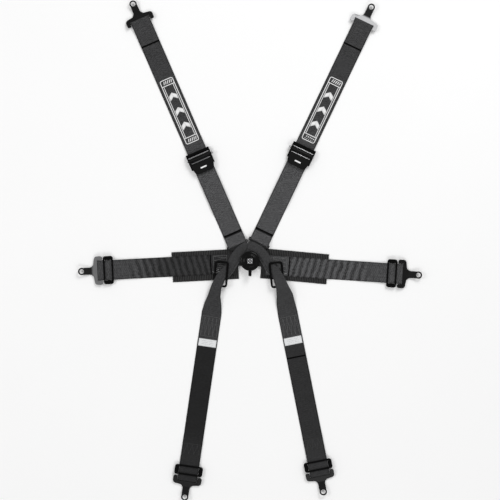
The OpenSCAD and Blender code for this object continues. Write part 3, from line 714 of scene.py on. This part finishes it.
class Print:
    """Flat printed shapes lying on a strap, split finely enough to follow it."""

    def __init__(self, strap, z_of):
        self.strap, self.z_of, self.points, self.faces = strap, z_of, [], []

    def corner(self, x, y):
        self.points.append(place(self.strap, y, x, self.z_of(y, x) + 0.07))
        return len(self.points) - 1

    def quad(self, a, b, c, d, step=4.0):
        """A quadrilateral a-b-c-d, split along a-b and d-c."""
        a, b, c, d = (np.array(p, float) for p in (a, b, c, d))
        n = max(1, int(np.ceil(max(np.linalg.norm(b - a), np.linalg.norm(c - d)) / step)))
        rows = []
        for k in range(n + 1):
            p, q = a + (b - a) * k / n, d + (c - d) * k / n
            rows.append((self.corner(*p), self.corner(*q)))
        for (p0, q0), (p1, q1) in zip(rows[:-1], rows[1:]):
            self.faces.append((p0, p1, q1, q0))

    def ring(self, half, low, high, radius, width):
        outer, inner = outline_ring(half, low, high, radius, width)
        n = len(outer)
        for k in range(n):
            j = (k + 1) % n
            self.quad(outer[k], outer[j], inner[j], inner[k])

    def chevron(self, y, half=10.6, rise=8.0, width=12.0):
        """A bold V across the strap, pointing to the bracket."""
        self.quad((-half, y - rise), (0, y), (0, y + width), (-half, y - rise + width))
        self.quad((0, y), (half, y - rise), (half, y - rise + width), (0, y + width))

    def made(self, name, body, material):
        ob = build(name, self.points, self.faces, material, body)
        thick = ob.modifiers.new("Thickness", "SOLIDIFY")
        thick.thickness, thick.offset = 0.05 * MM, 0.0
        return ob


def dark_cross_strip(name, strap, low, high, z_of, body):
    """A dense black strip right across a strap, laid like a bar of satin stitches; at the end of a doubled length it
    is a painted shadow of the step.
    """
    bar = Print(strap, lambda y, x: z_of(y, x) + 0.25)
    bar.quad((-24.2, low), (24.2, low), (24.2, high), (-24.2, high), 1.6)
    return bar.made(name, body, STRIP_BLACK)


# ------------------------------------------------------------------ shoulder straps
for side in ("left", "right"):
    strap, a = "shoulder_" + side, ADJUSTER[side]
    end = STRAPS[strap][3]
    body_low, body_up = "shoulder_strap_" + side, "upper_strap_" + side
    lower, lower_len = lay_strap(
        "webbing_shoulder_lower_" + side, strap, shoulder_lower_path(side), WEBBING, body_low
    )
    seed = 1.7 if side == "left" else 6.2

    def upper_lift(y, u, low=a + 100, high=end - 82, seed=seed):
        w = min(1.0, max(0.0, (y - low) / 25)) * min(1.0, max(0.0, (high - y) / 25))
        return w * 0.9 * max(0.0, 0.3 + noise.noise(Vector((y / 60.0, u / 45.0, seed))))

    upper, upper_len = lay_strap(
        "webbing_shoulder_upper_" + side, strap, shoulder_upper_path(side), UPPER_WEB_PAINTED_SHADE, body_up, upper_lift
    )
    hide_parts("shoulder_lower_" + side)
    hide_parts("shoulder_upper_" + side)

    low_top = level([
        (8, 6.4), (15, 4.1), (22, 2.5), (27, TOP_LAYER), (35, SINGLE_Z), (a - 116, SINGLE_Z),
        (a - 98, OVER_BAR), (a + 20, OVER_BAR),
    ])
    sewn = sew("stitching_shoulder_" + side, strap, w_pattern(9.5, 26), low_top, THREAD, body_low, radius=0.5)
    mark = sew(
        "stitch_line_shoulder_" + side, strap, [[(-23, 93), (23, 93)]], low_top, GREY_THREAD, body_low, 2.6, 1.7, 0.3
    )
    # black strip where the doubled length ends: painted shadow of the step
    shadow_strip = dark_cross_strip("shadow_strip_shoulder_" + side, strap, 24.6, 31.0, low_top, body_low)

    flat_top = level([
        (a + 79, UNDER_BAR), (a + 97, SINGLE_Z), (end - 78, SINGLE_Z), (end - 67, TOP_LAYER), (end - 44, TOP_LAYER),
        (end - 24, 3.75), (end - 7, 6.7),
    ])

    def up_top(y, x, flat=flat_top, lift=upper_lift):
        return flat(y, x) + lift(y, x)

    p = Print(strap, up_top)
    low = a + PANEL_LOW[side]
    high = low + PANEL_LENGTH
    p.ring(PANEL_HALF, low, high, 5.0, 2.0)
    for y in (low + 15.5, high - 17.5):
        half = PANEL_HALF - 2.0
        p.quad((-half, y), (half, y), (half, y + 2.0), (-half, y + 2.0))
    for x in (-13.2, 11.7):
        p.quad((x, low + 17.5), (x, high - 17.5), (x + 1.5, high - 17.5), (x + 1.5, low + 17.5))
    for y in (low + 45, low + 85, low + 125):
        p.chevron(y)
    for y0 in (low + 4.2, high - 12.6):
        for k in range(5):
            x = -10.5 + k * 4.9
            p.quad((x, y0), (x + 2.2, y0), (x + 4.8, y0 + 8.4), (x + 2.6, y0 + 8.4))
    panel = p.made("print_shoulder_" + side, body_up, PRINT)
    lines = w_pattern(end - 62, end - 26)
    sewn_up = sew("stitching_bracket_" + side, strap, lines, up_top, THREAD, body_up, radius=0.5)
    # black strip where the doubled length ends: painted shadow of the step
    end_line = dark_cross_strip("shadow_line_bracket_" + side, strap, end - 67, end - 63, up_top, body_up)


# ------------------------------------------------------------------ lap straps and pads
def make_pad(side):
    """Wide ribbed backing, lying flat under the lap strap, with its inner end turned out under the tongue."""
    strap = "lap_" + side
    shift, turn = (-1.5, 0.0) if side == "left" else (-3.6, -1.6)
    start, end, half, e = (-14.0 if side == "left" else -15.0), PAD_END, PAD_HALF, PAD_THICK / 2
    ca, sa = math.cos(math.radians(turn)), math.sin(math.radians(turn))
    ys = np.linspace(start, end, 56)
    xs = [-half + e] + list(np.linspace(-half + 3, half - 3, 25)) + [half - e]
    outline = [(x, e) for x in xs] + [(half, 0.0)] + [(x, -e) for x in reversed(xs)] + [(-half, 0.0)]
    points, uv, m = [], [], len(outline)
    for y in ys:
        tip = min(1.0, min(y - start, end - y) / 1.2 + 0.35)
        wob = 0.5 * noise.noise(Vector((y / 30, 2.0, 5.0 if side == "left" else 8.0)))
        for x, h in outline:
            free = max(0.0, (abs(x) - 26) / 12)
            curl = 0.8 * free * max(0.0, 0.4 + noise.noise(Vector((y / 33, math.copysign(9, x), 1.0))))
            wide = x * (1 + wob * 0.004)
            points.append(place(strap, wide * sa + y * ca, shift + wide * ca - y * sa, 0.2 + e + h * tip + curl))
            uv.append((x, y))
    # every quad starts one corner earlier than a strap's, so that its diagonal runs the other way
    faces = [f[-1:] + f[:-1] if len(f) == 4 else f for f in tube_faces(len(ys), m)]
    pad = build("pad_lap_" + side, points, faces, PAD, uv=uv)
    return pad, end - start


# light stitches near the tongues, as lines of (across, along)
FLECKS = {
    "left": [[(-17, 34), (-22, 44), (-17, 52)], [(-13, 36), (-18, 48)]],
    "right": [[(17, 30), (22, 40), (17, 50)], [(13, 34), (18, 46)]],
}
for side in ("left", "right"):
    strap, body = "lap_" + side, "lap_belt_" + side
    end = STRAPS[strap][3]
    waves = ripples(56, 268, RIPPLE_SLANT[side])
    web, length = lay_strap("webbing_lap_" + side, strap, lap_path(side), LAP_WEB[side], body, waves)
    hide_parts("lap_strap_" + side)
    pad, pad_length = make_pad(side)
    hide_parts("lap_pad_" + side)
    tuple(place(strap, -12, 0, 1) * MM)
    tuple(place(strap, 12, 0, 1) * MM)
    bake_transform(pad)
    top = level([(8, 6.6), (14, 4.4), (20, 4.3), (50, 4.3), (59, 2.8), (155, 2.8)])
    sewn = sew("stitching_lap_" + side, strap, w_pattern(14, 48, 20.5, 8), top, GREY_THREAD, body, 2.9, 2.3, 0.5)
    dark = sew_splice("stitching_lap_bracket_" + side, strap, end, body)
    light = sew("stitch_flecks_lap_" + side, strap, FLECKS[side], top, LIGHT_THREAD, body, 2.6, 2.1, 0.75)
    # black strip where the doubled length ends: painted shadow of the step
    shadow_strip = dark_cross_strip("shadow_strip_lap_" + side, strap, 53.8, 56.6, top, body)


# ------------------------------------------------------------------ crotch straps
def folded_section(width, thick, flip):
    """Cross-section of webbing folded lengthwise: the top run is width wide and the rest is tucked under."""
    depth = max(0.0, WEB_W - width)
    r = thick / 2 + 0.06
    k = min(1.0, depth / 6)
    run = WEB_W - depth
    x0 = -(run + (r if depth > 1 else 0)) / 2

    def centre(s):
        if s <= run:
            return np.array([x0 + s, r * k]), np.array([0.0, 1.0])
        w = min(math.pi, (s - run) / r)
        c = np.array([x0 + run + r * math.sin(w), r * k - r + r * math.cos(w)])
        over = s - run - math.pi * r
        if over > 0:
            c[0] -= over
        return c, np.array([math.sin(w), math.cos(w)])

    bend = min(depth, math.pi * r)
    top, turn, tuck = (0.4, run - 0.3, 12), (run, run + bend, 6), (run + bend + 0.3, WEB_W + 0.1, 10)
    ss = np.concatenate([np.linspace(*ends) for ends in (top, turn, tuck)])
    ss = np.maximum.accumulate(np.clip(ss, 0, WEB_W))
    outer, inner = [], []
    for s in ss:
        c, nrm = centre(s)
        u = s - HALF_W
        outer.append((*(c + nrm * thick / 2), u))
        inner.append((*(c - nrm * thick / 2), u))
    start, stop = centre(ss[0])[0] + np.array([-0.4, 0]), centre(ss[-1])
    tip = stop[0] + np.array([stop[1][1], -stop[1][0]]) * 0.4
    loop = outer + [(*tip, HALF_W)] + inner[::-1] + [(*start, -HALF_W)]
    return [(x * flip, h, u * flip) for x, h, u in loop]


def crotch_piece(side):
    """One webbing: folded along the band by the buckle, through the ring, opening out flat to its bracket."""
    strap = "crotch_" + side
    end = STRAPS[strap][3]
    across_s = heading(strap)[1]
    band = np.array(BANDS[side], float)
    # The rest of the strap, as stations in the frame: x, y, z, width
    run = [(8, 0.95), (20, SINGLE_Z), (end - 110, SINGLE_Z), (end - 97, TOP_LAYER)]
    tail = bracket_loop(end, slide_run(end))
    flat = thinned(rounded(run + tail))
    rest = np.array([[*place(strap, y, 0, z), WEB_W] for y, z in flat])
    # round the band's corners, then keep the flat stations as they are
    head = rounded(np.vstack([band, rest[:1]]), 5.0, 3)[:-1]
    stations = np.vstack([head, rest])
    keep = [0]
    for i in range(1, len(stations)):
        far = np.linalg.norm(stations[i, :3] - stations[keep[-1], :3])
        if i >= len(head) or far > 2.5:
            keep.append(i)
    st = stations[keep]
    spots = st[:, :3]
    gaps = np.linalg.norm(np.diff(spots, axis=0), axis=1)
    ok = np.concatenate([[True], gaps > 1e-4])
    st, spots = st[ok], spots[ok]
    lengths = np.concatenate([[0], np.cumsum(np.linalg.norm(np.diff(spots, axis=0), axis=1))])
    tangents = np.gradient(spots, axis=0)
    tangents /= np.linalg.norm(tangents, axis=1)[:, None]
    across, n_head = [], int(np.sum(np.array(keep) < len(head)))
    for i, t in enumerate(tangents):
        if i >= n_head:
            across.append(across_s)
            continue
        # walking from the buckle towards the bracket, so across is the tangent turned clockwise
        flat_t = np.array([t[0], t[1], 0.0])
        flat_t /= np.linalg.norm(flat_t)
        across.append(np.array([flat_t[1], -flat_t[0], 0.0]))
    across = [a * (1 if np.dot(a, across_s) > 0 else -1) for a in across]
    flip = 1.0 if side == "left" else -1.0
    thick = [1.02 + (WEB_T - 1.02) * min(1.0, max(0.0, (w - 30) / 20)) for w in st[:, 3]]
    sections = [folded_section(w, t, flip) for w, t in zip(st[:, 3], thick)]
    ob = sweep(
        "webbing_crotch_" + side, spots, tangents, across, sections, lengths, CROTCH_WEB[side]
    )
    return ob, float(lengths[-1])


def neck_loop(side):
    """The end of the crotch webbing, sewn into a loop round a shoulder tongue's neck."""
    x0, y0, turn, top = NECKS[side]
    a = math.radians(turn)
    along, across = np.array([-math.sin(a), math.cos(a), 0]), np.array([math.cos(a), math.sin(a), 0])
    low, half_out, half_in = 2.6, 9.1, 7.6
    rings = []
    for half, lo, hi, r in ((half_out, low, top, 1.6), (half_in, 4.2, min(top, 7.9), 0.8)):
        pts = []
        for cx, cz, a0 in (
            (half - r, hi - r, 0), (-half + r, hi - r, 90), (-half + r, lo + r, 180), (half - r, lo + r, 270),
        ):
            pts += [on_circle(cx, cz, r, a0 + 18 * k) for k in range(6)]
        rings.append(pts)
    points, uv, n = [], [], len(rings[0])
    for y, squeeze in ((10.0, 0.6), (10.4, 0.0), (22.1, 0.0), (22.5, 0.6)):
        for which, pts in enumerate(rings):
            for k, (x, z) in enumerate(pts):
                s = squeeze * (-1 if which == 0 else 1) * 0.4
                up = z + s * np.sign(z - (low + top) / 2)
                points.append(np.array([x0, y0, up]) + along * y + across * (x + s * np.sign(x)))
                uv.append((y - 16, k * 1.6))

    def ring(j, which, k):
        return (j * 2 + which) * n + k % n

    faces = []
    for j in range(3):
        for k in range(n):
            faces.append((ring(j, 0, k), ring(j + 1, 0, k), ring(j + 1, 0, k + 1), ring(j, 0, k + 1)))
            faces.append((ring(j, 1, k + 1), ring(j + 1, 1, k + 1), ring(j + 1, 1, k), ring(j, 1, k)))
    for k in range(n):
        faces.append((ring(0, 0, k + 1), ring(0, 1, k + 1), ring(0, 1, k), ring(0, 0, k)))
        faces.append((ring(3, 0, k), ring(3, 1, k), ring(3, 1, k + 1), ring(3, 0, k + 1)))
    return build("webbing_neck_loop_" + side, points, faces, CROTCH_WEB[side], "buckle", uv)


def make_label(side):
    """Blank sewn label: thin cloth with a soft edge, lying on the strap."""
    strap, y0 = "crotch_" + side, LABEL_Y[side]
    nx, ny, half_x, half_y = 19, 9, 22.5, 9.5
    base_z = SINGLE_Z + WEB_T / 2 + 0.03
    uv = []

    def spot(layer, i, j):
        x, y = -half_x + 2 * half_x * i / (nx - 1), -half_y + 2 * half_y * j / (ny - 1)
        rim = i in (0, nx - 1) or j in (0, ny - 1)
        rise = 0.28 if rim else 0.46 + 0.1 * noise.noise(Vector((x / 6, y / 5, y0)))
        uv.append((x, y))
        return place(strap, y0 + y, x, base_z + (0.0 if layer else rise))

    points, faces = slab(nx, ny, spot)
    return build("label_crotch_" + side, points, faces, LABEL, "crotch_belt_" + side, uv)


for side in ("left", "right"):
    strap, body = "crotch_" + side, "crotch_belt_" + side
    end = STRAPS[strap][3]
    web, length = crotch_piece(side)
    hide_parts("crotch_band_" + side, "crotch_strap_" + side)
    tuple(place(strap, -14, 0, 1) * MM)
    tuple(place(strap, 10, 0, 1) * MM)
    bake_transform(web)
    loop = neck_loop(side)
    label, y0 = make_label(side), LABEL_Y[side]
    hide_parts("crotch_label_" + side)
    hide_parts("crotch_band_" + side)
    top = level([(0, SINGLE_Z + 0.1), (20, SINGLE_Z), (end, SINGLE_Z)])
    box = [(-21.2, y0 - 8.2), (21.2, y0 - 8.2), (21.2, y0 + 8.2), (-21.2, y0 + 8.2), (-21.2, y0 - 8.2)]
    label_top = level([(0, SINGLE_Z + 0.42), (end, SINGLE_Z + 0.42)])
    sewn_label = sew("stitching_label_" + side, strap, [box], label_top, LIGHT_THREAD, body, 2.6, 1.9, 0.22)
    sewn = sew("stitching_crotch_" + side, strap, w_pattern(14, 64, 20, 8), top, GREY_THREAD, body, 3.2, 2.0, 0.36)
    dark = sew_splice("stitching_crotch_bracket_" + side, strap, end, body)
    if side == "right":
        dark_cross_strip("cross_line_crotch_right", strap, 116.2, 119.8, top, body)


# ------------------------------------------------------------------ small hardware pieces
def knob_mark():
    """A thin printed circle with four short bars and a dot on the knob's cap: a plain sign that means nothing."""
    z0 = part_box("knob_cap")[1][2] / MM
    crown = 0.3 / 8.2  # fall of the cap's top, from its middle outwards
    points, faces = [], []

    def quad(corners):
        base = len(points)
        for x, y in corners:
            points.append((x, y, z0 - crown * math.hypot(x, y) + 0.05))
        faces.append((base, base + 1, base + 2, base + 3))

    def polar(r, degrees):
        return on_circle(0, 0, r, degrees)

    for k in range(36):
        quad([polar(5.0, 10 * k), polar(5.9, 10 * k), polar(5.9, 10 * k + 10), polar(5.0, 10 * k + 10)])
    for turn in (45, 135, 225, 315):
        quad([polar(2.6, turn - 14), polar(7.9, turn - 5), polar(7.9, turn + 5), polar(2.6, turn + 14)])
    for k in range(8):
        quad([(0, 0), polar(1.3, 45 * k), polar(1.3, 45 * k + 22.5), polar(1.3, 45 * k + 45)])
    ob = build("knob_mark", points, faces, EMBLEM, "turn_knob", smooth=False)
    thick = ob.modifiers.new("Thickness", "SOLIDIFY")
    thick.thickness, thick.offset = 0.06 * MM, 1.0


knob_mark()


def flap_label(side):
    """Small blank white tab on the release lever."""
    strap, a, nx, ny = "shoulder_" + side, ADJUSTER[side], 9, 4

    def spot(layer, i, j):
        return place(strap, a + 12 + 3.4 * j / (ny - 1), -8 + 16 * i / (nx - 1), 13.3 + (0.02 if layer else 0.3))

    points, faces = slab(nx, ny, spot)
    uv = [(0, 0)] * len(points)
    build("flap_tab_" + side, points, faces, PRINT, "release_lever_" + side, uv, smooth=False)


for side in ("left", "right"):
    flap_label(side)

# ------------------------------------------------------------------ CAD nodes' materials and rounded edges
FINISH = {
    "buckle_base": HOUSING, "buckle_housing": HOUSING, "buckle_screws": BARE_STEEL, "pin_guide_plate": BARE_STEEL,
    "centre_post": BARE_STEEL, "fixed_pin": BARE_STEEL, "pin_springs": BARE_STEEL, "eject_springs": BARE_STEEL,
    "knob_spring": BARE_STEEL, "knob": KNOB, "cam_hub": BARE_STEEL, "knob_cap": KNOB, "knob_screw": BARE_STEEL,
    "latch_pins": BARE_STEEL, "tongue": TONGUE_STEEL, "adjuster_frame": BLACK_STEEL, "adjuster_lever": LEVER,
    "adjuster_pin": BARE_STEEL, "adjuster_bars": BARE_STEEL, "adjuster_spring": BARE_STEEL,
    "lap_slide": BLACK_STEEL, "crotch_slide": BLACK_STEEL, "strap_ring": BLACK_STEEL,
    "bracket_shoulder_right": PLATE_PAINTED_REFLECTION, "bracket_lap_left": PLATE_PAINTED_DIM_REFLECTION, "bracket": PLATED,
}
BARE = ("fixed_pin", "buckle_screws", "knob_screw", "centre_post")  # hidden nodes that stay without rounded edges
BLUNT = ("bracket", "knob", "lap_slide", "crotch_slide", "adjuster_lever")
for name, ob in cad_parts.items():
    if ob.hide_render:
        continue
    key = max((k for k in FINISH if name.startswith(k)), key=len, default=None)
    if key is None:
        continue
    for s in ob.material_slots:
        s.material = FINISH[key]
    if "spring" in name or name in BARE:
        continue
    weld = ob.modifiers.new("Weld", "WELD")
    weld.merge_threshold = 0.002 * MM
    bevel = ob.modifiers.new("Edges", "BEVEL")
    bevel.width = (0.5 if name.startswith(BLUNT) else 0.25) * MM
    bevel.segments = 2
    bevel.limit_method = "ANGLE"
    bevel.angle_limit = math.radians(40)
    bevel.use_clamp_overlap = True
    bevel.harden_normals = False

# ------------------------------------------------------------------ stage, light and camera
me = bpy.data.meshes.new("floor")
FLOOR_HALF, FLOOR_Z = 6.0, -0.0004
corners = [(x * FLOOR_HALF, y * FLOOR_HALF, FLOOR_Z) for x, y in ((-1, -1), (1, -1), (1, 1), (-1, 1))]
me.from_pydata(corners, [], [(0, 1, 2, 3)])
me.materials.append(floor_material())
floor = bpy.data.objects.new("floor", me)
bpy.context.scene.collection.objects.link(floor)

world = bpy.data.worlds.new("studio")
bpy.context.scene.world = world
world.use_nodes = True
background = world.node_tree.nodes["Background"].inputs
background["Color"].default_value, background["Strength"].default_value = (1, 1, 1, 1), 0.44
bpy.context.scene.view_settings.view_transform = "Standard"


def softbox(name, spot, aim, size, power):
    light = bpy.data.lights.new(name, "AREA")
    light.shape = "RECTANGLE"
    light.size, light.size_y = size
    light.energy = power
    ob = bpy.data.objects.new(name, light)
    ob.location = spot
    ob.rotation_euler = (Vector(aim) - Vector(spot)).to_track_quat("-Z", "Y").to_euler()
    bpy.context.scene.collection.objects.link(ob)


softbox("key_softbox", (1.15, 2.1, 2.6), (0.05, 0.1, 0), (1.5, 1.5), 46)
softbox("left_softbox", (-2.3, 0.2, 2.7), (0, 0, 0), (1.2, 1.2), 25)
softbox("fill_softbox", (0.6, -2.6, 2.6), (0, 0, 0), (2.2, 1.2), 27)

LENS, VIEW_WIDTH = 85, 1.265  # the lens in millimetres, and the width that the picture covers, in metres
cam_data = bpy.data.cameras.new("camera")
cam_data.lens = LENS
cam_data.clip_start, cam_data.clip_end = 0.05, 50
camera = bpy.data.objects.new("camera", cam_data)
camera.location = (0.0, 0.0278, VIEW_WIDTH * LENS / cam_data.sensor_width)
bpy.context.scene.collection.objects.link(camera)
bpy.context.scene.camera = camera
